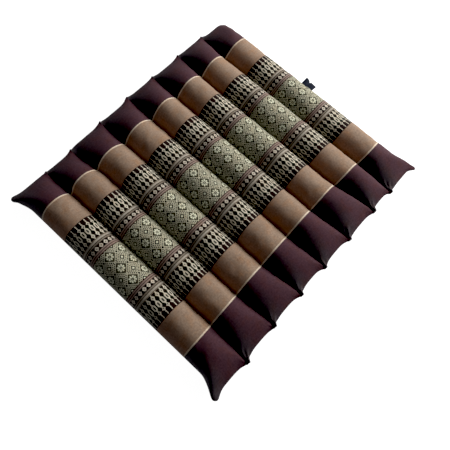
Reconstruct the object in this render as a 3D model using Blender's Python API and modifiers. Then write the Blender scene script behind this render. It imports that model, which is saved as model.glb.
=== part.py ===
"""Quilted meditation cushion, lying flat, with a small bare tape tab in one side seam.

The cover is one banded cloth, doubled and quilted along straight seams into eight filled tubes.
X runs across the tubes, Y along them and Z up. Near is the -Y end of the tubes and far the +Y end.
"""
import math
from collections import namedtuple

import bpy
import bmesh

MM = 0.001
COLLECTION = "meditation_cushion"

# Driving sizes of the filled cover, in metres
SEAM_HEIGHT = 0.018
UNDERSIDE_DEPTH = 0.0215
END_ROUNDING = 0.048
SEAM_THICKNESS = 0.002
KNOT_THICKNESS = 0.007
KNOT_LENGTH = 0.009
KNOT_SHARPNESS = 4
LUMP_HEIGHT = 0.0007
LUMP_LENGTH = 0.150
LUMP_SHIFT = 2.0
PLEAT_DEPTH = 0.0018
PLEAT_LENGTH = 0.030
CLOTH_SLOPE = math.radians(75)

# Mesh steps: across one tube, and distances in from either end of it
STEPS_ACROSS = 10
STATIONS = (0, 0.0025, 0.006, 0.012, 0.020, 0.030, 0.042, 0.058, 0.085, 0.125, 0.175)
MIDDLE_STATION = 1.0

# Side tape: a folded tab whose far half curls up and whose near half droops
TAB_WIDTH = 0.024
TAB_REACH = 0.017
TAB_THICKNESS = 0.0012
TAB_MIDDLE_Y = 0.011
TAB_GAP = 0.0004
TAB_CURL = 0.0030
TAB_DROOP = 0.0014
TAB_NEAR_DROOP = 0.0021
TAB_STEPS_OUT = 4
TAB_STEPS_ALONG = 8

# One row a tube: the height of its crown, and how far out its ends lie at the tube's middle, in mm
Tube = namedtuple("Tube", "number crown near_end far_end")
TUBES = [Tube(*row) for row in (
    (1, 43.4, 224.0, 219.5),
    (2, 41.1, 222.0, 217.0),
    (3, 41.7, 220.0, 221.5),
    (4, 42.0, 220.0, 223.0),
    (5, 42.1, 222.0, 226.0),
    (6, 43.1, 224.5, 224.5),
    (7, 42.6, 223.5, 226.0),
    (8, 40.8, 227.0, 221.5),
)]

# One row a seam: its place across at mid length and at both ends, how far out its knotted ends reach, and
# the length over which it bends to them, in mm. Seams 0 and 8 are the sides, and their ends are the ears
Seam = namedtuple("Seam", "number middle_x near_x far_x near_reach far_reach bend")
SEAMS = [Seam(*row) for row in (
    (0, -248.0, -261.0, -256.5, 227.5, 221.0, 42),
    (1, -186.5, -190.0, -190.5, 230.0, 218.0, 80),
    (2, -126.5, -123.0, -135.5, 226.0, 220.0, 90),
    (3, -63.5, -57.0, -65.0, 226.5, 225.0, 90),
    (4, 1.0, 4.0, 2.0, 227.5, 228.5, 90),
    (5, 63.0, 69.0, 64.0, 228.5, 227.5, 90),
    (6, 125.5, 138.0, 130.0, 230.0, 227.5, 110),
    (7, 188.0, 187.5, 192.5, 230.0, 226.5, 80),
    (8, 250.0, 257.5, 249.0, 233.0, 217.5, 48),
)]

COVER_COLOUR = (0.085, 0.055, 0.048, 1)
TAPE_COLOUR = (0.012, 0.012, 0.016, 1)
CLOTH_ROUGHNESS = 0.85


def clear_scene():
    for obj in list(bpy.data.objects):
        bpy.data.objects.remove(obj, do_unlink=True)


def cloth_material(name, colour):
    material = bpy.data.materials.new(name)
    material.use_nodes = True
    shader = material.node_tree.nodes["Principled BSDF"]
    shader.inputs["Base Color"].default_value = colour
    shader.inputs["Roughness"].default_value = CLOTH_ROUGHNESS
    shader.inputs["Metallic"].default_value = 0
    return material


def add_object(name, mesh_source, material, collection):
    mesh = bpy.data.meshes.new(name)
    mesh_source.to_mesh(mesh)
    mesh_source.free()
    mesh.materials.append(material)
    mesh.shade_smooth()
    obj = bpy.data.objects.new(name, mesh)
    collection.objects.link(obj)
    return obj


def ease(share):
    """A smooth step from 0 to 1."""
    share = min(max(share, 0), 1)
    return share * share * (3 - 2 * share)


def seam_place(seam, is_near, inset):
    """Where a seam lies across the cushion, at a distance in from one end."""
    end_x = seam.near_x if is_near else seam.far_x
    bent = ease(1 - inset / (seam.bend * MM))
    return (seam.middle_x + (end_x - seam.middle_x) * bent) * MM


def end_line(tube, across, is_near):
    """How far out a tube's end lies: drawn in at the tube's middle, out at its knots."""
    row = TUBES[tube]
    seam = SEAMS[tube if across < 0 else tube + 1]
    middle = row.near_end if is_near else row.far_end
    knot = seam.near_reach if is_near else seam.far_reach
    return (middle + (knot - middle) * abs(across) ** KNOT_SHARPNESS) * MM


def seam_half(across, inset):
    """Half the thickness left where top and bottom are sewn together: flat along a seam, a lump at its end."""
    lump = math.exp(-(inset / KNOT_LENGTH) ** 2) * abs(across) ** KNOT_SHARPNESS
    return (SEAM_THICKNESS + (KNOT_THICKNESS - SEAM_THICKNESS) * lump) / 2


def place_point(tube, turn, is_near, inset, is_top):
    """A point of the cover; turn runs from -1 at the tube's left seam to 1 at its right one."""
    across = math.sin(CLOTH_SLOPE * turn) / math.sin(CLOTH_SLOPE)
    left = seam_place(SEAMS[tube], is_near, inset)
    right = seam_place(SEAMS[tube + 1], is_near, inset)
    x = left + (right - left) * (1 + across) / 2

    y = 0 if inset == MIDDLE_STATION else end_line(tube, across, is_near) - inset
    if is_near:
        y = -y

    arc = (math.cos(CLOTH_SLOPE * turn) - math.cos(CLOTH_SLOPE)) / (1 - math.cos(CLOTH_SLOPE))
    closing = math.sqrt(1 - (1 - min(inset / END_ROUNDING, 1)) ** 2)
    half = seam_half(across, inset)
    if is_top:
        lump = LUMP_HEIGHT * math.sin(math.tau * y / LUMP_LENGTH + LUMP_SHIFT * tube)
        crown = TUBES[tube].crown * MM + lump
        pleat = PLEAT_DEPTH * max(0, 1 - inset / PLEAT_LENGTH) * math.sin(math.pi * turn) ** 2 * closing
        z = SEAM_HEIGHT + half + (crown - SEAM_HEIGHT - half) * arc * closing - pleat
    else:
        z = max(0, SEAM_HEIGHT - half - UNDERSIDE_DEPTH * arc * closing)
    return x, y, z


def add_cover_side(mesh, is_top):
    """One side of the cover: a grid whose columns follow the tubes and whose rows follow the stations."""
    columns = len(TUBES) * STEPS_ACROSS
    rows = 2 * len(STATIONS)
    grid = bmesh.ops.create_grid(mesh, x_segments=columns, y_segments=rows, size=1)
    for vert in grid["verts"]:
        column = round((vert.co.x + 1) / 2 * columns)
        row = round((vert.co.y + 1) / 2 * rows)
        tube = min(column // STEPS_ACROSS, len(TUBES) - 1)
        turn = 2 * (column - tube * STEPS_ACROSS) / STEPS_ACROSS - 1
        is_near = row < len(STATIONS)
        station = row if is_near else rows - row
        inset = STATIONS[station] if station < len(STATIONS) else MIDDLE_STATION
        vert.co = place_point(tube, turn, is_near, inset, is_top)


def make_cushion(collection):
    """Top and bottom cloth, joined round the rim by the thickness of the sewn edge."""
    mesh = bmesh.new()
    add_cover_side(mesh, True)
    add_cover_side(mesh, False)
    rims = [edge for edge in mesh.edges if edge.is_boundary]
    bmesh.ops.bridge_loops(mesh, edges=rims)
    bmesh.ops.recalc_face_normals(mesh, faces=mesh.faces)
    return add_object("cushion", mesh, cloth_material("banded_cloth", COVER_COLOUR), collection)


def make_label(collection):
    """A bare tape tab that leaves the +X side seam: its far half curls up and its near half droops."""
    mesh = bmesh.new()
    grid = bmesh.ops.create_grid(mesh, x_segments=TAB_STEPS_OUT, y_segments=TAB_STEPS_ALONG, size=1)
    root = seam_place(SEAMS[-1], False, MIDDLE_STATION) + TAB_GAP
    for vert in grid["verts"]:
        outward = (vert.co.x + 1) / 2
        along = vert.co.y
        curl = TAB_CURL * max(0, along) * outward
        droop = (TAB_DROOP + TAB_NEAR_DROOP * max(0, -along)) * outward ** 2
        vert.co.x = root + TAB_REACH * outward
        vert.co.y = TAB_MIDDLE_Y + TAB_WIDTH / 2 * along
        vert.co.z = SEAM_HEIGHT + curl - droop
    obj = add_object("label", mesh, cloth_material("black_tape", TAPE_COLOUR), collection)
    wall = obj.modifiers.new("tape thickness", "SOLIDIFY")
    wall.thickness = TAB_THICKNESS
    wall.offset = 0
    return obj


def centre_on_floor(objects):
    """Move every piece so that the whole stands on z = 0 with its box centred on the origin."""
    graph = bpy.context.evaluated_depsgraph_get()
    corners = [corner for obj in objects for corner in obj.evaluated_get(graph).bound_box]
    lows = [min(corner[axis] for corner in corners) for axis in range(3)]
    highs = [max(corner[axis] for corner in corners) for axis in range(3)]
    shift = (-(lows[0] + highs[0]) / 2, -(lows[1] + highs[1]) / 2, -lows[2])
    for obj in objects:
        for vert in obj.data.vertices:
            vert.co.x += shift[0]
            vert.co.y += shift[1]
            vert.co.z += shift[2]


def main():
    clear_scene()
    collection = bpy.data.collections.new(COLLECTION)
    bpy.context.scene.collection.children.link(collection)
    pieces = [make_cushion(collection), make_label(collection)]
    centre_on_floor(pieces)


main()
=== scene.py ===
import math
import random
from collections import namedtuple

import bmesh
import bpy
from mathutils import Matrix, Vector


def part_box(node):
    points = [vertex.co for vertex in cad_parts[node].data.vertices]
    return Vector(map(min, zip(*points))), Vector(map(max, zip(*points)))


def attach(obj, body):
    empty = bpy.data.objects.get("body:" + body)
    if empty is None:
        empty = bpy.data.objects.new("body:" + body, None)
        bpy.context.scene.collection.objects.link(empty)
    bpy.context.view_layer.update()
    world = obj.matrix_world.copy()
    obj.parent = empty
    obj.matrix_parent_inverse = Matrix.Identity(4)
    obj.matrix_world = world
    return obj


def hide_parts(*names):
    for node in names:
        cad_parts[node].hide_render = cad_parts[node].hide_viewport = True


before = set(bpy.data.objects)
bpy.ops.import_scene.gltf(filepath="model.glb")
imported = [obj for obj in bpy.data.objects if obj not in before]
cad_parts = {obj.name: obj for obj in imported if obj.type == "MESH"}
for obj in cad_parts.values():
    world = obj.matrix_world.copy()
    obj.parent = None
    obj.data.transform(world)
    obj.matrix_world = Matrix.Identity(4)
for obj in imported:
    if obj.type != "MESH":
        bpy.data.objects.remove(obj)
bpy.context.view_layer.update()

# Quilted meditation cushion, lying flat: X across its tubes, Y along them, Z up, in metres.
# Near is the -Y end of the tubes and far the +Y end. Tables and settings are in millimetres.
mm = 0.001
print("frame loaded:", ", ".join(sorted(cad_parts)))

# One row a tube: its crown's height, how far out its ends lie, how far its nearest flower column lies from
# its crest, where the middles of its inner and of its outer bands lie, and how much longer its cloth is
tubeRow = namedtuple("tubeRow", "number crown nearEnd farEnd flower middle outerMiddle stretch")
tubes = [tubeRow(*row) for row in (
    (1, 43.4, 224.0, 218.5, -1.0, 4.3, 2.8, 0.0),
    (2, 41.1, 222.0, 217.0, 17.0, 6.2, 4.3, 0.0),
    (3, 41.7, 220.0, 221.5, 12.5, 7.7, 6.4, 0.0),
    (4, 42.0, 220.0, 223.0, 1.5, 9.2, 7.4, 0.0),
    (5, 42.1, 222.0, 226.0, -3.0, 10.1, 7.9, 0.0),
    (6, 43.1, 224.5, 224.5, 16.5, 9.6, 7.2, 0.0),
    (7, 42.6, 223.5, 226.0, 10.0, 7.3, 4.7, 0.010),
    (8, 40.8, 227.0, 221.5, 2.0, 3.6, 0.8, 0.012),
)]

# One row a seam: its place across at mid length and at both ends, how far out its knots reach, and the
# length over which it bends to them. Seams 0 and 8 are the sides, and their ends are the corner ears
seamRow = namedtuple("seamRow", "number middleX nearX farX nearReach farReach bend")
seams = [seamRow(*row) for row in (
    (0, -248.0, -261.0, -256.5, 227.5, 221.0, 42),
    (1, -186.5, -190.0, -190.5, 230.0, 218.0, 80),
    (2, -126.5, -123.0, -135.5, 226.0, 220.0, 90),
    (3, -63.5, -57.0, -65.0, 226.5, 225.0, 90),
    (4, 1.0, 4.0, 2.0, 227.5, 228.5, 90),
    (5, 63.0, 69.0, 64.0, 228.5, 227.5, 90),
    (6, 125.5, 138.0, 130.0, 230.0, 227.5, 110),
    (7, 188.0, 187.5, 192.5, 230.0, 226.5, 80),
    (8, 250.0, 257.5, 249.0, 233.0, 217.5, 48),
)]

# The tables' own middle, seen from the middle of the whole part
coverLow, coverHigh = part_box("cushion")
shiftX = coverLow.x - min(seam.nearX for seam in seams) * mm
shiftY = coverLow.y + max(seam.nearReach for seam in seams) * mm

cushion = {
    "seamHeight": 18.0,        # mm above the floor
    "undersideDepth": 21.5,    # mm from the seams down, before the floor flattens it
    "endLength": 58.0,         # mm over which a tube thins out towards its ends
    "sideShortening": 0.45,    # how much shorter that is on the cushion's two long sides
    "endFullness": 1.75,       # 1 thins it out evenly; more keeps it full for longer
    "endFlatness": 0.10,       # how much broader its top is there
    "endRounding": 42.0,       # mm over which its underside lifts off the floor
    "seamThickness": 1.4,
    "knotThickness": 5.2,
    "knotLength": 8.0,
    "knotSharpness": 4,
    "knotWidth": 0.08,         # share of a tube's half width that its blunt knot takes up
    "rimRounding": 4.0,        # mm over which a knot rounds down to its edge
    "rimShare": 0.4,           # share of its thickness that is left there
    "clothSlope": math.radians(81),     # of a tube's flanks at its seams
    "slackCrown": 0.6,         # mm the crowns start lower, for the filling to push up
    "lump": 0.7,               # mm, long soft lumps of the filling
    "lumpLength": 150.0,
    "lumpShift": 2.0,
    "stepsAcross": 16,         # mesh steps across one tube
    "crowding": 0.5,           # how much they crowd towards its seams
    "endRows": 20,             # rows whose spacing grows from the first to the last value below
    "firstRow": 1.3,
    "lastRow": 5.3,
    "rowsToMiddle": 46,        # rows from an end to the middle
    "pressure": 4.0,           # of the filling
    "slack": 0.008,            # share by which the cloth is longer than the shape it starts from
    "frames": 20,              # that the cloth takes to settle
    "cap": 5.0,                # mm, the furthest that a point may move
    "tubeGap": 0.35,           # mm between the flanks of two tubes
}


def ease(share):
    # a smooth step from 0 to 1
    share = min(max(share, 0.0), 1.0)
    return share * share * (3 - 2 * share)


def seamPlace(seam, isNear, inset):
    # where a seam lies across the cushion, at a distance in from one end
    endX = seam.nearX if isNear else seam.farX
    bent = ease(1 - inset / (seam.bend * mm))
    return (seam.middleX + (endX - seam.middleX) * bent) * mm + shiftX


def endLine(tube, across, isNear):
    # how far out a tube's end lies: drawn in at its middle, out at its blunt knots
    seam = seams[tube if across < 0 else tube + 1]
    middle = tubes[tube].nearEnd if isNear else tubes[tube].farEnd
    knot = seam.nearReach if isNear else seam.farReach
    drawn = min(abs(across) / (1 - cushion["knotWidth"]), 1.0) ** cushion["knotSharpness"]
    return (middle + (knot - middle) * drawn) * mm


def rowRuler():
    # how far in each row would lie, in mm, if all tubes were as long: rows crowd towards the end
    marks = [0.0]
    growth = cushion["lastRow"] - cushion["firstRow"]
    for row in range(cushion["rowsToMiddle"]):
        marks.append(marks[-1] + (cushion["firstRow"] + growth * ease(row / cushion["endRows"])))
    return marks


ruler = rowRuler()


def rowInset(row, endReach):
    # a row's distance in from its tube's end: as ruled there, and stretched so that the last is at the middle
    share = ruler[row] / ruler[-1]
    stretch = ease(share)
    return ruler[row] * mm * (1 - stretch) + endReach * share * stretch


def thinning(tube, across):
    # the length over which a tube thins out; the cushion's two long sides stay full for longer
    isSide = (tube == 0 and across < 0) or (tube == len(tubes) - 1 and across > 0)
    shortening = cushion["sideShortening"] * ease(abs(across)) if isSide else 0
    return cushion["endLength"] * mm * (1 - shortening)


def placePoint(tube, turn, isNear, row, isTop):
    # a point of the cover; turn runs from -1 at the tube's left seam to 1 at its right one
    slope = cushion["clothSlope"]
    across = math.sin(slope * turn) / math.sin(slope)
    reach = endLine(tube, across, isNear)
    inset = rowInset(row, reach)
    left = seamPlace(seams[tube], isNear, inset)
    right = seamPlace(seams[tube + 1], isNear, inset)
    x = left + (right - left) * (1 + across) / 2
    y = (inset - reach) if isNear else (reach - inset)
    arc = (math.cos(slope * turn) - math.cos(slope)) / (1 - math.cos(slope))
    knot = math.exp(-(inset / (cushion["knotLength"] * mm)) ** 2)
    knot *= abs(across) ** cushion["knotSharpness"]
    rounding = math.sqrt(min(1.0, inset / (cushion["rimRounding"] * mm)))
    knot *= cushion["rimShare"] + (1 - cushion["rimShare"]) * rounding
    half = (cushion["seamThickness"] + (cushion["knotThickness"] - cushion["seamThickness"]) * knot) / 2 * mm
    seamHeight = cushion["seamHeight"] * mm
    if isTop:
        wave = math.tau * y / (cushion["lumpLength"] * mm) + cushion["lumpShift"] * tube
        lump = cushion["lump"] * math.sin(wave)
        crown = (tubes[tube].crown - cushion["slackCrown"] + lump) * mm
        fullness = 1 - (1 - min(inset / thinning(tube, across), 1)) ** cushion["endFullness"]
        arc = max(arc, 0.0) ** (1 - cushion["endFlatness"] * (1 - fullness))
        z = seamHeight + half + (crown - seamHeight - half) * arc * fullness
    else:
        fullness = math.sqrt(1 - (1 - min(inset / (cushion["endRounding"] * mm), 1)) ** 2)
        z = max(0.0, seamHeight - half - cushion["undersideDepth"] * mm * arc * fullness)
    return Vector((x, y + shiftY, z))


def turnOf(step):
    # columns crowd towards the seams, where the cloth bends most
    share = 2 * step / cushion["stepsAcross"] - 1
    crowding = cushion["crowding"]
    return share * (1 - crowding) + crowding * math.sin(math.pi / 2 * share)


laying = {
    "flowerPitch": 27.0,       # mm of cloth from one flower column to the next
    "perTube": 88.0,           # mm of cloth that one tube takes up, about
    "takeUp": 4,               # how close to the seams the cloth that the pitch leaves over is taken up
    "drift": (95, 150),        # mm from the middle, between which the outer bands' middle takes over
}


def crestCloth():
    # the cloth's own place at each tube's crest, in mm, with a flower column at each multiple of the pitch
    crests = []
    pitch = laying["flowerPitch"]
    for count, tube in enumerate(tubes):
        whole = round((laying["perTube"] * count + tube.flower) / pitch)
        crests.append(whole * pitch - tube.flower)
    return crests


def clothAcross(tube, arc, arcHalf, crests):
    # a point's place across the cloth in mm; what the pitch leaves over is taken up beside the seams
    last = len(tubes) - 1
    other = min(tube + 1, last) if arc > 0 else max(tube - 1, 0)
    pitch = abs(crests[other] - crests[tube]) if other != tube else 2 * arcHalf
    share = abs(arc) / arcHalf
    return crests[tube] + math.copysign(abs(arc) + (pitch / 2 - arcHalf) * share ** laying["takeUp"], arc)


def clothAlong(tube, share, along):
    # a point's place along the cloth in mm; the share runs from the tube's crest at 0 to the next one's at 1
    last = len(tubes) - 1
    here = tubes[tube]
    other = tubes[min(max(tube + (1 if share > 0 else -1), 0), last)]
    share = ease(abs(share))
    middle = here.middle + (other.middle - here.middle) * share
    outer = here.outerMiddle + (other.outerMiddle - here.outerMiddle) * share
    stretch = here.stretch + (other.stretch - here.stretch) * share
    start, end = laying["drift"]
    drift = (middle - outer) * ease((abs(along) - start) / (end - start))
    return (along - middle + drift) * (1 - stretch)


def buildCover():
    # top and bottom cloth as two grids whose columns follow the tubes, bridged round the rim
    stepsAcross = cushion["stepsAcross"]
    columns = len(tubes) * stepsAcross
    rows = 2 * cushion["rowsToMiddle"]
    mesh = bmesh.new()
    sides = []
    for isTop in (True, False):
        grid = bmesh.ops.create_grid(mesh, x_segments=columns, y_segments=rows, size=1)
        side = {}
        for vert in grid["verts"]:
            column = round((vert.co.x + 1) / 2 * columns)
            row = round((vert.co.y + 1) / 2 * rows)
            side[column, row] = vert
        for (column, row), vert in side.items():
            tube = min(column // stepsAcross, len(tubes) - 1)
            isNear = row < rows / 2
            turn = turnOf(column - tube * stepsAcross)
            vert.co = placePoint(tube, turn, isNear, min(row, rows - row), isTop)
        sides.append(side)
    rims = [edge for edge in mesh.edges if edge.is_boundary]
    bmesh.ops.bridge_loops(mesh, edges=rims)
    bmesh.ops.recalc_face_normals(mesh, faces=mesh.faces)
    return mesh, sides


def arcsAcross(side, tube, row):
    # the arc from a tube's crest to each of its columns, in mm
    steps = cushion["stepsAcross"]
    first = tube * steps
    lengths = [0.0]
    for column in range(first, first + steps):
        lengths.append(lengths[-1] + (side[column + 1, row].co - side[column, row].co).length / mm)
    crest = lengths[steps // 2]
    return [length - crest for length in lengths]


def layCloth(mesh, sides):
    # the UV map holds each point's place on the flat cloth in metres, with the pattern's middle at 0, 0
    layer = mesh.loops.layers.uv.new("clothLay")
    crests = crestCloth()
    middleRow = cushion["rowsToMiddle"]
    places = {}
    for side in sides:
        for tube in range(len(tubes)):
            arcs = arcsAcross(side, tube, middleRow)
            arcHalf = arcs[-1]
            for step, arc in enumerate(arcs):
                column = tube * cushion["stepsAcross"] + step
                across = clothAcross(tube, max(min(arc, arcHalf), -arcHalf), arcHalf, crests)
                for direction in (-1, 1):
                    along = 0.0
                    row = middleRow
                    while (column, row) in side:
                        place = clothAlong(tube, 0.5 * arc / arcHalf, direction * along)
                        places[side[column, row]] = (across * mm, place * mm)
                        after = side.get((column, row + direction))
                        if after is not None:
                            along += (after.co - side[column, row].co).length / mm
                        row += direction
    for face in mesh.faces:
        for loop in face.loops:
            loop[layer].uv = places[loop.vert]


def markTurns(mesh, sides):
    # a second map tells how far round its tube a point lies, from -1 at its left seam to 1 at its right one
    layer = mesh.loops.layers.uv.new("tubeTurn")
    steps = cushion["stepsAcross"]
    columns = {vert: column for side in sides for (column, row), vert in side.items()}
    for face in mesh.faces:
        tube = min(min(columns[vert] for vert in face.verts) // steps, len(tubes) - 1)
        for loop in face.loops:
            loop[layer].uv = (turnOf(columns[loop.vert] - tube * steps), 0.0)


def meshObject(name, mesh, materials):
    data = bpy.data.meshes.new(name)
    mesh.to_mesh(data)
    mesh.free()
    for material in materials:
        data.materials.append(material)
    data.shade_smooth()
    obj = bpy.data.objects.new(name, data)
    bpy.context.scene.collection.objects.link(obj)
    return obj


def bakedMesh(obj):
    # the object's mesh with its modifiers applied
    graph = bpy.context.evaluated_depsgraph_get()
    return bpy.data.meshes.new_from_object(obj.evaluated_get(graph))


def fillCover(obj, sewn):
    # the filling pushes the cloth out between its seams, as a pressure on a cloth that is a little slack
    obj.vertex_groups.new(name="sewn").add(sewn, 1.0, "REPLACE")
    cloth = obj.modifiers.new("filling", "CLOTH")
    cloth.settings.quality = 5
    cloth.settings.mass = 0.25
    cloth.settings.tension_stiffness = 30
    cloth.settings.compression_stiffness = 20
    cloth.settings.shear_stiffness = 8
    cloth.settings.bending_stiffness = 0.4
    cloth.settings.vertex_group_mass = "sewn"
    cloth.settings.use_pressure = True
    cloth.settings.uniform_pressure_force = cushion["pressure"]
    cloth.settings.shrink_min = -cushion["slack"]
    cloth.settings.effector_weights.gravity = 0
    cloth.collision_settings.use_collision = False
    cloth.point_cache.frame_start = 1
    cloth.point_cache.frame_end = cushion["frames"]
    for frameNumber in range(1, cushion["frames"] + 1):
        bpy.context.scene.frame_set(frameNumber)
    filled = bakedMesh(obj)
    obj.modifiers.remove(cloth)
    return [vert.co.copy() for vert in filled.vertices]


def makeCushion(material):
    mesh, sides = buildCover()
    layCloth(mesh, sides)
    markTurns(mesh, sides)
    mesh.verts.index_update()
    steps = cushion["stepsAcross"]
    rows = 2 * cushion["rowsToMiddle"]
    sewn = []
    owner = {}
    for side in sides:
        for (column, row), vert in side.items():
            owner[vert.index] = (column, row)
            if column % steps == 0 or row in (0, rows):
                sewn.append(vert.index)
    obj = meshObject("quiltedCushion", mesh, [material])
    start = [vert.co.copy() for vert in obj.data.vertices]
    filled = fillCover(obj, sewn)
    cap = cushion["cap"] * mm
    for vert, here, there in zip(obj.data.vertices, start, filled):
        move = there - here
        if move.length > cap:
            move *= cap / move.length
        vert.co = here + move
    keepTubesApart(obj, owner)
    obj.vertex_groups.clear()
    return obj


def keepTubesApart(obj, owner):
    # no flank crosses its seam's own plane, and nothing goes below the floor
    steps = cushion["stepsAcross"]
    rows = 2 * cushion["rowsToMiddle"]
    gap = cushion["tubeGap"] / 2 * mm
    for vert in obj.data.vertices:
        column, row = owner[vert.index]
        vert.co.z = max(vert.co.z, 0.0)
        if column % steps == 0:
            continue
        tube = column // steps
        isNear = row < rows / 2
        inset = rowInset(min(row, rows - row), endLine(tube, 0, isNear))
        if tube > 0:
            vert.co.x = max(vert.co.x, seamPlace(seams[tube], isNear, inset) + gap)
        if tube < len(tubes) - 1:
            vert.co.x = min(vert.co.x, seamPlace(seams[tube + 1], isNear, inset) - gap)


def subdivideOnce(obj):
    smooth = obj.modifiers.new("fine cloth", "SUBSURF")
    smooth.levels = 1
    smooth.render_levels = 1
    fine = bakedMesh(obj)
    obj.modifiers.remove(smooth)
    obj.data = fine
    fine.shade_smooth()


# One row a corner: its seam, which end, how far it is rounded off, and the ear that the sewing leaves there:
# where it points, how long it is, half its width, and how thick
cornerRow = namedtuple("cornerRow", "seam isNear rounding pointX pointY length half thick")
corners = [cornerRow(*row) for row in (
    (0, True, 16, -0.66, -0.75, 7.0, 8.2, 9.0),
    (0, False, 14, -0.84, 0.54, 6.4, 6.4, 8.5),
    (8, True, 19, 0.50, -0.87, 8.0, 4.4, 2.8),
    (8, False, 10, 0.71, 0.71, 0.0, 4.0, 5.0),
)]
ears = {
    "root": 0.29,          # how far in from the square corner an ear starts, next to the corner's rounding
    "run": 0.9,            # how far back the cloth follows it, next to the corner's rounding
    "squareness": 6,       # 2 gives it soft shoulders, more a clear width
    "widthThinned": 1.6,   # how far out from its middle it thins to nothing, next to half its width
}


def shapeCorners(obj):
    # each corner is rounded off, and a narrow ear of turned-in cloth stands out of it
    middle = cushion["seamHeight"] * mm
    for corner in corners:
        seam = seams[corner.seam]
        sideX = (seam.nearX if corner.isNear else seam.farX) * mm + shiftX
        reach = (-seam.nearReach if corner.isNear else seam.farReach) * mm + shiftY
        outX = -1 if corner.seam == 0 else 1
        outY = -1 if corner.isNear else 1
        size = corner.rounding * mm
        point = Vector((corner.pointX, corner.pointY)).normalized()
        root = Vector((sideX - outX * ears["root"] * size, reach - outY * ears["root"] * size))
        for vert in obj.data.vertices:
            # the square corner becomes a quarter of a circle
            sideShare = 1 - (sideX - vert.co.x) * outX / size
            endShare = 1 - (reach - vert.co.y) * outY / size
            if sideShare > 0 and endShare > 0:
                sideShare = min(sideShare, 1.0)
                endShare = min(endShare, 1.0)
                vert.co.x += outX * size * sideShare * (math.sqrt(1 - endShare * endShare / 2) - 1)
                vert.co.y += outY * size * endShare * (math.sqrt(1 - sideShare * sideShare / 2) - 1)
            offset = vert.co.xy - root
            depth = -offset.dot(point)
            beside = offset.dot(point.orthogonal()) / (corner.half * mm)
            if depth > ears["run"] * size or corner.length == 0:
                continue
            pull = math.exp(-beside ** ears["squareness"]) * ease(1 - depth / (ears["run"] * size))
            vert.co.x += point.x * corner.length * mm * pull
            vert.co.y += point.y * corner.length * mm * pull
            thinned = math.sqrt(max(0.0, 1 - (beside / ears["widthThinned"]) ** 2))
            height = vert.co.z - middle
            flat = math.copysign(min(abs(height), corner.thick / 2 * mm * thinned), height)
            vert.co.z += (flat - height) * pull


# The small pleats at a knot: on which side of its seam (1 is +X), how far they turn from it, how long, high
# and wide they are; the far knots' pleats are smaller
pleatRow = namedtuple("pleatRow", "side degrees length height width")
pleats = [pleatRow(*row) for row in (
    (1, 16, 26.0, 2.0, 1.7),
    (1, 32, 22.0, 2.6, 1.9),
    (1, 50, 16.0, 2.0, 1.9),
    (-1, 16, 16.0, 1.3, 1.5),
    (-1, 38, 12.0, 1.0, 1.6),
)]
gathers = {
    "far": 0.25,            # size of the far knots' pleats next to the near ones'
    "shares": (0.65, 1.2),  # the least and the most that one pleat's size differs
    "degrees": 6.0,         # the most that it turns from its row above
    "groove": 0.35,         # depth of the grooves beside a pleat, next to its height
    "groovePlace": 1.8,     # how far from its crest they lie, next to its width
    "rise": 0.2,            # shares of its length over which it rises and fades
    "fade": 0.7,
    "reach": 30.0,          # mm from the knot beyond which there are none
    "seed": 5,
}


def gatherEnds(obj):
    # the cloth of two tubes is drawn into small pleats where their seam ends
    dice = random.Random(gathers["seed"])
    mesh = obj.data
    normals = [vert.normal.copy() for vert in mesh.vertices]
    moves = {}
    for seam in seams[1:-1]:
        for isNear in (True, False):
            across, along = (seam.nearX, -seam.nearReach) if isNear else (seam.farX, seam.farReach)
            knot = Vector((across * mm + shiftX, along * mm + shiftY))
            size = 1.0 if isNear else gathers["far"]
            folds = []
            for pleat in pleats:
                angle = math.radians(pleat.degrees + dice.uniform(-1, 1) * gathers["degrees"])
                ray = Vector((pleat.side * math.sin(angle), math.cos(angle) * (1 if isNear else -1)))
                length = pleat.length * size * dice.uniform(*gathers["shares"]) * mm
                height = pleat.height * size * dice.uniform(*gathers["shares"]) * mm
                folds.append((ray, length, height, pleat.width * mm))
            for vert in mesh.vertices:
                offset = vert.co.xy - knot
                if max(abs(offset.x), abs(offset.y)) > gathers["reach"] * mm:
                    continue
                for ray, length, height, width in folds:
                    out = offset.dot(ray)
                    if not 0 < out < length:
                        continue
                    beside = abs(offset.dot(ray.orthogonal())) / width
                    fade = ease(out / (gathers["rise"] * length))
                    fade *= ease((length - out) / (gathers["fade"] * length))
                    groove = gathers["groove"] * math.exp(-(beside - gathers["groovePlace"]) ** 2)
                    ridge = math.exp(-beside ** 2) - groove
                    moves[vert.index] = moves.get(vert.index, 0.0) + height * fade * ridge
    for index, move in moves.items():
        mesh.vertices[index].co += normals[index] * move


def calc(tree, operation, first, second=None, third=None):
    node = tree.nodes.new("ShaderNodeMath")
    node.operation = operation
    for socket, value in zip(node.inputs, (first, second, third)):
        if value is None:
            continue
        if isinstance(value, (int, float)):
            socket.default_value = value
        else:
            tree.links.new(value, socket)
    return node.outputs[0]


def allOf(tree, *masks):
    result = masks[0]
    for mask in masks[1:]:
        result = calc(tree, "MULTIPLY", result, mask)
    return result


def between(tree, value, low, high):
    return allOf(tree, calc(tree, "GREATER_THAN", value, low), calc(tree, "LESS_THAN", value, high))


def around(tree, value, middle, half):
    return calc(tree, "COMPARE", value, middle, half)


def outside(tree, mask):
    return calc(tree, "SUBTRACT", 1.0, mask)


def colourMix(tree, mask, under, over, blendType="MIX"):
    node = tree.nodes.new("ShaderNodeMix")
    node.data_type = "RGBA"
    node.blend_type = blendType
    node.clamp_factor = True
    # sockets 6 and 7, and output 2, are the ones for colours
    for socket, value in ((node.inputs["Factor"], mask), (node.inputs[6], under), (node.inputs[7], over)):
        if isinstance(value, (int, float, tuple)):
            socket.default_value = value
        else:
            tree.links.new(value, socket)
    return node.outputs[2]


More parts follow.
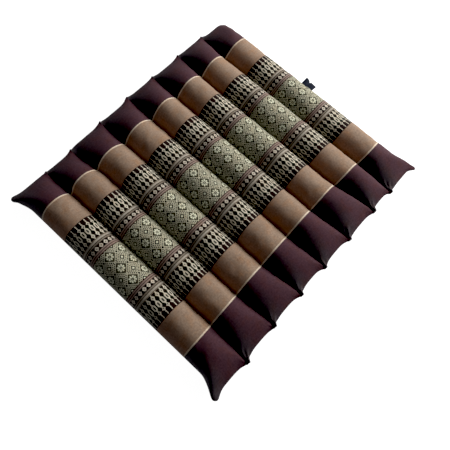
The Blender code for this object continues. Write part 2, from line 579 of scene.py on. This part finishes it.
def shade(red, green, blue):
    # a linear colour from the 0 to 255 values that are given
    linear = []
    for value in (red, green, blue):
        value /= 255
        linear.append(value / 12.92 if value <= 0.04045 else ((value + 0.055) / 1.055) ** 2.4)
    return (*linear, 1.0)


def newMaterial(name, roughness, sheen, sheenRoughness, specular):
    material = bpy.data.materials.new(name)
    material.use_nodes = True
    tree = material.node_tree
    shader = tree.nodes["Principled BSDF"]
    shader.inputs["Roughness"].default_value = roughness
    shader.inputs["Sheen Weight"].default_value = sheen
    shader.inputs["Sheen Roughness"].default_value = sheenRoughness
    shader.inputs["Specular IOR Level"].default_value = specular
    return material, tree, shader


def noiseValue(tree, vector, scale, detail=2.0, roughness=0.5):
    node = tree.nodes.new("ShaderNodeTexNoise")
    node.inputs["Scale"].default_value = scale
    node.inputs["Detail"].default_value = detail
    node.inputs["Roughness"].default_value = roughness
    tree.links.new(vector, node.inputs["Vector"])
    return node.outputs["Fac"]


def stretched(tree, vector, across, along):
    node = tree.nodes.new("ShaderNodeMapping")
    node.inputs["Scale"].default_value = (across, along, 1.0)
    tree.links.new(vector, node.inputs["Vector"])
    return node.outputs["Vector"]


# The woven bands and where each starts, in mm from the pattern's middle, alike on both sides of it
bands = [
    ("field", 0.0, shade(88, 85, 66)),
    ("dark line", 35.9, shade(46, 26, 20)),
    ("mauve edge", 37.2, shade(128, 104, 95)),
    ("mauve", 38.2, shade(152, 136, 125)),
    ("mauve dots", 39.5, shade(116, 94, 86)),
    ("mauve again", 40.7, shade(152, 136, 125)),
    ("mauve foot", 42.4, shade(92, 70, 63)),
    ("dot row", 43.3, shade(30, 20, 14)),
    ("taupe edge", 52.2, shade(100, 90, 79)),
    ("taupe line", 53.0, shade(148, 137, 122)),
    ("taupe dots", 54.3, shade(102, 93, 80)),
    ("pale taupe", 55.8, shade(173, 165, 151)),
    ("taupe", 58.8, shade(116, 104, 90)),
    ("lozenge foot", 60.2, shade(34, 26, 16)),
    ("lozenges", 71.5, shade(24, 26, 14)),
    ("lozenge head", 86.0, shade(40, 26, 22)),
    ("tan", 99.3, shade(158, 135, 116)),
    ("cream line", 153.1, shade(218, 201, 180)),
    ("aubergine", 155.4, shade(84, 59, 65)),
]
bandEdge = {name: edge for name, edge, colour in bands}
bandColour = {name: colour for name, edge, colour in bands}

weave = {
    "thread": 0.6,         # mm
    "flowerPitchAlong": 24.3,
    "flowerShift": 0.4,    # mm that the flowers lie beyond the field's own middle
    "columnPitch": 9.0,    # mm from one lozenge column to the next
    "columnShift": (0.7, -4.75),   # mm that the lozenge columns lie beyond the flower columns, far and near
    "beadShift": (-0.3, -3.6),     # the same for the round dots
    "lozengeShift": 0.25,          # mm that the lozenges lie further out than their outline below says
    "cream": shade(212, 204, 184),
    "dotCream": shade(206, 196, 179),
    "petal": shade(226, 226, 200),
    "heart": shade(76, 74, 55),
    "flowerGround": shade(76, 72, 53),
    "outline": shade(28, 24, 15),
    "lattice": shade(196, 192, 167),
    "tick": shade(12, 9, 5),
    "wide": 200.0,         # mm of cloth that the band ramp covers
}

# The lattice, in mm. The way from a rosette's middle is counted along the cloth plus across it, which makes
# diamonds, as far as the petals, whose sizes are radii
rosettes = {
    "diamond": 9.1,             # the dark ground of a rosette ends
    "outline": 10.6,            # its dark outline ends
    "latticeEnd": 21.0,
    "tickRows": (13.7, 17.9),   # the middles of the two ticked rows
    "tickHalf": (1.5, 1.4),
    "tickPitch": 2.05,          # half the distance from one tick to the next
    "tickLength": 1.1,
    "squareInside": 2.4,        # the small square between four rosettes, from its own middle
    "squareOutside": 4.8,
    "petalRadius": 5.8,
    "petalDepth": 0.5,
    "petals": 8,
    "veins": (3.0, 6.2),
    "veinWidth": -0.6,          # the cosine below which a vein shows between two petals
    "heart": (0.8, 2.3),
}

# The round dots and the fine dotted lines, in mm
beads = {
    "middle": 47.7,
    "halfAlong": 3.9,
    "halfAcross": 3.6,
    "roundness": 1.2,           # 1 gives a diamond and 2 an oval
    "pip": 1.0,
    "lines": (40.1, 55.0),      # the middles of the fine lines
    "lineHalf": 0.5,
    "dotPitch": 1.125,          # half the distance from one fine dot to the next
    "dotLength": 0.56,
}

# Uneven dye and slubs: each noise's scale, detail and roughness, and how much it adds to the cloth's tone
dye = {
    "tone": 0.035,              # how bright the cloth is before the noises add to it
    "patches": (22.0, 3.0, 0.5),
    "patchShare": 0.34,
    "grain": (330.0, 3.0, 0.6),
    "grainShare": 0.95,
    "streaks": (900.0, 30.0),   # scales across a thread and along it
    "streakShare": 0.32,
    "warmth": (60.0, 4.0, 0.65),
    "warmthFrom": 0.46,         # where in its noise the dye starts to turn redder
    "plainWarmth": 1.2,         # how much more it does so in the plain blocks
    "redGreenBlue": (0.08, -0.22, -0.50),
    "bumpStrength": 0.35,
    "bumpHeight": 0.0002,       # m
    "threads": 0.5,             # heights of the threads and of the slubs in the bump
    "slubs": 0.8,
}

# Painted shade in the plain blocks: on each tube's -X flank, the side turned away from the key light, the tan
# is painted redder and the aubergine bluer, as they look in shade
paintedShadeTint = {
    "tan": (1.03, 0.89, 0.88, 1.0),
    "aubergine": (0.88, 1.45, 1.3, 1.0),
    "onset": 1.8,               # 1 is full only at the seam; more is full sooner
}

# Half the width of a lozenge column and of the slots in it, in mm, at each distance from the middle
lozengeOutline = [
    (60.4, 0.6), (62.4, 0.8), (66.3, 3.4), (70.2, 0.8), (71.8, 0.8), (75.3, 3.4), (81.5, 3.4), (85.0, 0.8),
    (86.0, 0.8), (88.9, 3.4), (91.8, 0.6), (92.9, 0.6), (93.8, 1.2), (94.7, 0.6), (95.4, 0.6), (96.3, 1.2),
    (97.2, 0.6), (98.4, 1.1), (99.3, 0.6),
]
lozengeSlot = [
    (60.4, 0.0), (65.2, 0.0), (66.3, 1.0), (67.4, 0.0), (75.2, 0.0), (76.2, 1.4), (77.3, 0.8), (78.4, 1.6),
    (79.5, 0.8), (80.6, 1.4), (81.6, 0.0), (86.9, 0.0), (88.0, 1.2), (89.6, 0.0), (99.3, 0.0),
]
lozengeSpan = (60.0, 102.0)
widestLozenge = 5.0


def widthAlong(tree, distance, outline):
    # reads a half width off an outline, whose points are joined by straight lines
    low, high = lozengeSpan
    share = calc(tree, "DIVIDE", calc(tree, "SUBTRACT", distance, low), high - low)
    node = tree.nodes.new("ShaderNodeFloatCurve")
    curve = node.mapping.curves[0]
    points = [((place - low) / (high - low), width / widestLozenge) for place, width in outline]
    points = [(0.0, points[0][1])] + points + [(1.0, points[-1][1])]
    for count, (place, width) in enumerate(points):
        if count < 2:
            curve.points[count].location = (place, width)
        else:
            curve.points.new(place, width)
    for point in curve.points:
        point.handle_type = "VECTOR"
    node.mapping.update()
    tree.links.new(share, node.inputs["Value"])
    return calc(tree, "MULTIPLY", node.outputs["Value"], widestLozenge)


def bandRamp(tree, distance):
    node = tree.nodes.new("ShaderNodeValToRGB")
    ramp = node.color_ramp
    ramp.interpolation = "CONSTANT"
    for count, (name, edge, colour) in enumerate(bands):
        stop = ramp.elements[count] if count < 2 else ramp.elements.new(edge / weave["wide"])
        stop.position = edge / weave["wide"]
        stop.color = colour
    tree.links.new(calc(tree, "DIVIDE", distance, weave["wide"]), node.inputs["Fac"])
    return node.outputs["Color"]


def latticeColours(tree, colour, across, along, distance):
    # a rosette in each diamond, a small square between four of them, and ticked rows along their edges
    alongPitch = weave["flowerPitchAlong"]
    acrossPitch = laying["flowerPitch"]
    up = calc(tree, "PINGPONG", calc(tree, "SUBTRACT", along, weave["flowerShift"]), alongPitch / 2)
    beside = calc(tree, "PINGPONG", across, acrossPitch / 2)
    diamond = calc(tree, "ADD", up, beside)
    fromSquare = calc(tree, "SUBTRACT", (alongPitch + acrossPitch) / 2, diamond)
    edgeway = calc(tree, "SUBTRACT", up, beside)
    radius = calc(tree, "SQRT", calc(tree, "ADD", calc(tree, "POWER", up, 2), calc(tree, "POWER", beside, 2)))
    turn = calc(tree, "MULTIPLY", calc(tree, "ARCTAN2", up, beside), rosettes["petals"])
    petals = calc(tree, "COSINE", turn)

    inField = calc(tree, "LESS_THAN", distance, bandEdge["dark line"])
    scallops = calc(tree, "MULTIPLY_ADD", petals, rosettes["petalDepth"], rosettes["petalRadius"])
    flower = calc(tree, "LESS_THAN", radius, scallops)
    veins = allOf(tree, calc(tree, "LESS_THAN", petals, rosettes["veinWidth"]),
                  between(tree, radius, *rosettes["veins"]))
    ticks = calc(tree, "LESS_THAN", calc(tree, "PINGPONG", edgeway, rosettes["tickPitch"]),
                 rosettes["tickLength"])
    innerRow, outerRow = (around(tree, diamond, middle, half)
                          for middle, half in zip(rosettes["tickRows"], rosettes["tickHalf"]))

    layers = (
        (calc(tree, "LESS_THAN", diamond, rosettes["diamond"]), weave["flowerGround"]),
        (between(tree, diamond, rosettes["diamond"], rosettes["outline"]), weave["outline"]),
        (between(tree, diamond, rosettes["outline"], rosettes["latticeEnd"]), weave["lattice"]),
        (allOf(tree, innerRow, ticks), weave["tick"]),
        (allOf(tree, outerRow, outside(tree, ticks)), weave["tick"]),
        (between(tree, fromSquare, rosettes["squareInside"], rosettes["squareOutside"]), weave["outline"]),
        (calc(tree, "LESS_THAN", fromSquare, rosettes["squareInside"]), weave["petal"]),
        (flower, weave["petal"]),
        (veins, weave["heart"]),
        (between(tree, radius, *rosettes["heart"]), weave["heart"]),
    )
    for mask, over in layers:
        colour = colourMix(tree, allOf(tree, inField, mask), colour, over)
    return colour


def besideColumn(tree, across, along, shifts):
    # the distance from the nearest column; the far half's columns and the near half's are out of step
    far, near = shifts
    pitch = weave["columnPitch"]
    isNear = calc(tree, "LESS_THAN", along, 0.0)
    shift = calc(tree, "MULTIPLY_ADD", isNear, near - far, far + pitch / 2)
    return calc(tree, "PINGPONG", calc(tree, "SUBTRACT", across, shift), pitch / 2)


def columnColours(tree, colour, across, along, distance):
    # lozenge columns, the row of round dots and the fine dotted lines
    beside = besideColumn(tree, across, along, weave["columnShift"])
    inBand = between(tree, distance, lozengeOutline[0][0], bandEdge["tan"])
    place = calc(tree, "SUBTRACT", distance, weave["lozengeShift"])
    outline = calc(tree, "LESS_THAN", beside, widthAlong(tree, place, lozengeOutline))
    slot = calc(tree, "LESS_THAN", beside, widthAlong(tree, place, lozengeSlot))
    colour = colourMix(tree, allOf(tree, inBand, outline, outside(tree, slot)), colour, weave["cream"])

    beside = besideColumn(tree, across, along, weave["beadShift"])
    up = calc(tree, "ABSOLUTE", calc(tree, "SUBTRACT", distance, beads["middle"]))
    shares = [calc(tree, "POWER", calc(tree, "DIVIDE", value, half), beads["roundness"])
              for value, half in ((up, beads["halfAlong"]), (beside, beads["halfAcross"]))]
    bead = calc(tree, "LESS_THAN", calc(tree, "ADD", *shares), 1.0)
    pip = calc(tree, "LESS_THAN", calc(tree, "ADD", up, beside), beads["pip"])
    colour = colourMix(tree, allOf(tree, bead, outside(tree, pip)), colour, weave["dotCream"])

    fine = calc(tree, "LESS_THAN", calc(tree, "PINGPONG", across, beads["dotPitch"]), beads["dotLength"])
    for middle in beads["lines"]:
        dots = allOf(tree, fine, around(tree, distance, middle, beads["lineHalf"]))
        colour = colourMix(tree, dots, colour, bandColour["dot row"])
    return colour


def ownMap(tree, name):
    # one of the piece's own UV maps, whole and split into its two directions
    node = tree.nodes.new("ShaderNodeUVMap")
    node.uv_map = name
    split = tree.nodes.new("ShaderNodeSeparateXYZ")
    tree.links.new(node.outputs["UV"], split.inputs["Vector"])
    return node.outputs["UV"], split.outputs["X"], split.outputs["Y"]


# painted shade: tints the tan and aubergine on the -X flank of each tube, the side away from the key light
def paintShadeTint(tree, colour, distance):
    across = ownMap(tree, "tubeTurn")[1]
    flank = calc(tree, "MULTIPLY", across, -paintedShadeTint["onset"])
    flank = calc(tree, "MINIMUM", calc(tree, "MAXIMUM", flank, 0.0), 1.0)
    inTan = between(tree, distance, bandEdge["tan"], bandEdge["cream line"])
    inAubergine = calc(tree, "GREATER_THAN", distance, bandEdge["aubergine"])
    colour = colourMix(tree, allOf(tree, inTan, flank), colour, paintedShadeTint["tan"], "MULTIPLY")
    return colourMix(tree, allOf(tree, inAubergine, flank), colour, paintedShadeTint["aubergine"], "MULTIPLY")


def threadStreaks(tree, lay):
    # thin streaks along the warp's threads and along the weft's
    acrossThread, alongThread = dye["streaks"]
    warp = noiseValue(tree, stretched(tree, lay, acrossThread, alongThread), 1.0)
    weft = noiseValue(tree, stretched(tree, lay, alongThread, acrossThread), 1.0)
    return warp, weft


def dyeColours(tree, colour, lay, distance, streaks):
    # soft patches, a fine grain and the streaks; and the dye turns a little redder in places
    tone = dye["tone"]
    patches = noiseValue(tree, lay, *dye["patches"])
    grain = noiseValue(tree, lay, *dye["grain"])
    for noise, share in ((patches, dye["patchShare"]), (grain, dye["grainShare"])):
        tone = calc(tree, "MULTIPLY_ADD", noise, share, tone)
    for streak in streaks:
        tone = calc(tree, "MULTIPLY_ADD", streak, dye["streakShare"], tone)
    warmth = calc(tree, "SUBTRACT", noiseValue(tree, lay, *dye["warmth"]), dye["warmthFrom"])
    warmth = calc(tree, "MAXIMUM", warmth, 0.0)
    inPlain = calc(tree, "GREATER_THAN", distance, bandEdge["tan"])
    warmth = calc(tree, "MULTIPLY", warmth, calc(tree, "MULTIPLY_ADD", inPlain, dye["plainWarmth"], 1.0))
    tint = tree.nodes.new("ShaderNodeCombineColor")
    for socket, share in zip(tint.inputs, dye["redGreenBlue"]):
        tree.links.new(calc(tree, "MULTIPLY", calc(tree, "MULTIPLY_ADD", warmth, share, 1.0), tone), socket)
    return colourMix(tree, 1.0, colour, tint.outputs["Color"], "MULTIPLY")


def weaveHills(tree, across, along, streaks):
    # plain weave: a small hill where each thread comes up, and the slubs
    over = calc(tree, "SINE", calc(tree, "MULTIPLY", across, math.pi / weave["thread"]))
    under = calc(tree, "SINE", calc(tree, "MULTIPLY", along, math.pi / weave["thread"]))
    slubs = [calc(tree, "MULTIPLY", streak, dye["slubs"]) for streak in streaks]
    hills = calc(tree, "MULTIPLY", calc(tree, "MULTIPLY", over, under), dye["threads"])
    return calc(tree, "ADD", hills, calc(tree, "ADD", *slubs))


def addBump(tree, shader, height, strength, distance):
    bump = tree.nodes.new("ShaderNodeBump")
    bump.inputs["Strength"].default_value = strength
    bump.inputs["Distance"].default_value = distance
    tree.links.new(height, bump.inputs["Height"])
    tree.links.new(bump.outputs["Normal"], shader.inputs["Normal"])


def clothMaterial():
    material, tree, shader = newMaterial("bandedCloth", roughness=0.9, sheen=0.06, sheenRoughness=0.5,
                                         specular=0.2)
    lay, acrossLay, alongLay = ownMap(tree, "clothLay")
    acrossExact = calc(tree, "MULTIPLY", acrossLay, 1 / mm)
    alongExact = calc(tree, "MULTIPLY", alongLay, 1 / mm)
    # the pattern steps from thread to thread
    thread = weave["thread"]
    across = calc(tree, "ADD", calc(tree, "SNAP", acrossExact, thread), thread / 2)
    along = calc(tree, "ADD", calc(tree, "SNAP", alongExact, thread), thread / 2)
    distance = calc(tree, "ABSOLUTE", along)
    streaks = threadStreaks(tree, lay)

    colour = bandRamp(tree, distance)
    colour = latticeColours(tree, colour, across, along, distance)
    colour = columnColours(tree, colour, across, along, distance)
    # painted shade tint on the flanks that face away from the key light
    colour = paintShadeTint(tree, colour, distance)
    colour = dyeColours(tree, colour, lay, distance, streaks)
    tree.links.new(colour, shader.inputs["Base Color"])
    hills = weaveHills(tree, acrossExact, alongExact, streaks)
    addBump(tree, shader, hills, dye["bumpStrength"], dye["bumpHeight"])
    return material


tape = {
    "width": 24.0,        # mm along the seam
    "reach": 17.0,        # mm out of the seam
    "inSeam": 1.0,        # mm of each layer that the seam holds
    "ply": 0.55,          # mm, one layer of tape and the air beside it
    "wall": 0.8,          # share of it that is tape
    "gap": (0.25, 0.35),  # plies from the middle to each layer, at the seam and added by the fold
    "parting": 1.4,       # 1 parts the layers fully only at the fold; more does so sooner
    "fold": 0.05,         # share of the tape's run over which the fold is round
    "middleY": 11.0,
    "curl": 3.6,          # mm that the far corner curls up
    "curlFrom": 0.05,     # where along the tab that starts; 0 is its middle and 1 its far edge
    "curlBend": 1.3,      # 1 lifts it straight from the seam; more bends it up towards the fold
    "crease": (0.18, 0.16, 0.11),   # where it buckles, how wide, and how much shorter it looks there
    "creaseDroop": 1.2,   # mm
    "creaseBend": 1.5,
    "droop": 1.4,         # mm that the whole tab droops, and its near edge besides
    "nearDroop": 2.1,
    "stepsOut": 18,
    "stepsAlong": 24,
    "dark": shade(18, 20, 30),
    "light": shade(38, 42, 58),
    "patches": (160.0, 3.0),        # scale and detail
    "ribs": 420.0,
    "ribWaver": 0.6,
    "ribStrength": 0.4,
    "ribHeight": 0.00015,           # m
}


def tapeMaterial():
    material, tree, shader = newMaterial("blackTape", roughness=0.7, sheen=0.03, sheenRoughness=0.4,
                                         specular=0.15)
    lay = ownMap(tree, "tapeLay")[0]
    ribs = tree.nodes.new("ShaderNodeTexWave")
    ribs.wave_type = "BANDS"
    ribs.bands_direction = "DIAGONAL"
    ribs.inputs["Scale"].default_value = tape["ribs"]
    ribs.inputs["Distortion"].default_value = tape["ribWaver"]
    tree.links.new(lay, ribs.inputs["Vector"])
    colour = colourMix(tree, noiseValue(tree, lay, *tape["patches"]), tape["dark"], tape["light"])
    tree.links.new(colour, shader.inputs["Base Color"])
    addBump(tree, shader, ribs.outputs["Fac"], tape["ribStrength"], tape["ribHeight"])
    return material


def makeLabel(material):
    # a folded tape: out of the seam, round its fold and back, with its far half curled up
    mesh = bmesh.new()
    steps = 2 * tape["stepsOut"]
    grid = bmesh.ops.create_grid(mesh, x_segments=steps, y_segments=tape["stepsAlong"], size=1)
    layer = mesh.loops.layers.uv.new("tapeLay")
    root = (seams[-1].middleX - tape["inSeam"]) * mm + shiftX
    places = {}
    for vert in grid["verts"]:
        run = vert.co.x
        along = vert.co.y
        places[vert] = (run * tape["reach"] * mm, along * tape["width"] / 2 * mm)
        outward = 1 - abs(run)
        # the two layers part a little towards the fold
        apart, more = tape["gap"]
        gap = (apart + more * ease(outward * tape["parting"])) * tape["ply"] * math.copysign(1, run)
        roundFold = math.sqrt(max(0.0, 1 - (1 - min(abs(run) / tape["fold"], 1)) ** 2))
        farShare = (along - tape["curlFrom"]) / (1 - tape["curlFrom"])
        curl = tape["curl"] * ease(farShare) * outward ** tape["curlBend"]
        droop = (tape["droop"] + tape["nearDroop"] * max(0.0, -along)) * outward ** 2
        place, wide, depth = tape["crease"]
        buckle = math.exp(-((along - place) / wide) ** 2) * outward ** tape["creaseBend"]
        droop += tape["creaseDroop"] * buckle
        vert.co.x = root + (tape["reach"] + tape["inSeam"]) * outward * (1 - depth * buckle) * mm
        vert.co.y = (tape["middleY"] + tape["width"] / 2 * along) * mm + shiftY
        vert.co.z = (cushion["seamHeight"] + curl - droop - gap * roundFold) * mm
    for face in mesh.faces:
        for loop in face.loops:
            loop[layer].uv = places[loop.vert]
    obj = meshObject("sideTape", mesh, [material])
    wall = obj.modifiers.new("ply", "SOLIDIFY")
    wall.thickness = tape["ply"] * tape["wall"] * mm
    wall.offset = 0
    return obj


# Metres and watts
studio = {
    "keyPlace": (1.45, -0.30, 0.79),
    "keyAim": (0.0, 1.90, 0.02),     # turned past the cushion, which evens out its two ends
    "keySize": 0.95,
    "keyPower": 44.0,
    "sky": 0.11,
    "floorHalf": 20.0,
    "floorTop": -0.0005,
    "floorColour": (0.5, 0.5, 0.5, 1.0),
    "floorGlow": 0.95,       # the table is lit from below too, so the shadow on it stays faint
    "blackPoint": (0.0165, 0.0155, 0.0140),
}

# Where the photograph was taken from, in degrees and metres; the lens in mm
view = {
    "azimuth": -60.03,
    "elevation": 71.507,
    "roll": 12.72,
    "aim": (-0.0575, -0.05745, 0.020),
    "distance": 0.6865,
    "lens": 33.645,
}


def makeStudio():
    mesh = bmesh.new()
    bmesh.ops.create_grid(mesh, x_segments=1, y_segments=1, size=studio["floorHalf"])
    bmesh.ops.translate(mesh, verts=mesh.verts, vec=(0, 0, studio["floorTop"]))
    material, tree, shader = newMaterial("paleFloor", roughness=0.9, sheen=0.0, sheenRoughness=0.5,
                                         specular=0.2)
    shader.inputs["Base Color"].default_value = studio["floorColour"]
    shader.inputs["Emission Color"].default_value = (1, 1, 1, 1)
    shader.inputs["Emission Strength"].default_value = studio["floorGlow"]
    floor = meshObject("studioFloor", mesh, [material])
    floor.visible_diffuse = False    # its glow doesn't light the cushion's sides from below

    lamp = bpy.data.lights.new("softKey", "AREA")
    lamp.shape = "SQUARE"
    lamp.size = studio["keySize"]
    lamp.energy = studio["keyPower"]
    key = bpy.data.objects.new("softKey", lamp)
    key.location = studio["keyPlace"]
    toLight = Vector(studio["keyPlace"]) - Vector(studio["keyAim"])
    key.rotation_euler = toLight.to_track_quat("Z", "Y").to_euler()
    bpy.context.scene.collection.objects.link(key)

    world = bpy.data.worlds.new("studio")
    world.use_nodes = True
    backdrop = world.node_tree.nodes["Background"]
    backdrop.inputs["Color"].default_value = (1, 1, 1, 1)
    backdrop.inputs["Strength"].default_value = studio["sky"]
    bpy.context.scene.world = world

    # the photograph's own contrast: plain colours, with a slightly raised black point
    colours = bpy.context.scene.view_settings
    colours.view_transform = "Standard"
    colours.use_curve_mapping = True
    colours.curve_mapping.black_level = studio["blackPoint"]
    colours.curve_mapping.update()


def makeCamera():
    azimuth = math.radians(view["azimuth"])
    elevation = math.radians(view["elevation"])
    back = Vector((math.sin(azimuth) * math.cos(elevation), -math.cos(azimuth) * math.cos(elevation),
                   math.sin(elevation)))
    lens = bpy.data.cameras.new("camera")
    lens.lens = view["lens"]
    camera = bpy.data.objects.new("camera", lens)
    camera.location = Vector(view["aim"]) + back * view["distance"]
    turn = (-back).to_track_quat("-Z", "Y").to_matrix().to_4x4()
    turn = turn @ Matrix.Rotation(math.radians(view["roll"]), 4, "Z")
    camera.rotation_euler = turn.to_euler()
    bpy.context.scene.collection.objects.link(camera)
    bpy.context.scene.camera = camera


makeCamera()
makeStudio()
print("camera and studio made")

cover = makeCushion(clothMaterial())
print("cover filled:", len(cover.data.vertices), "points")
shapeCorners(cover)
subdivideOnce(cover)
gatherEnds(cover)
print("ends gathered:", len(cover.data.polygons), "faces")
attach(cover, "root")
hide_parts("cushion")

label = makeLabel(tapeMaterial())
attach(label, "root")
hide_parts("label")
print("tape folded")
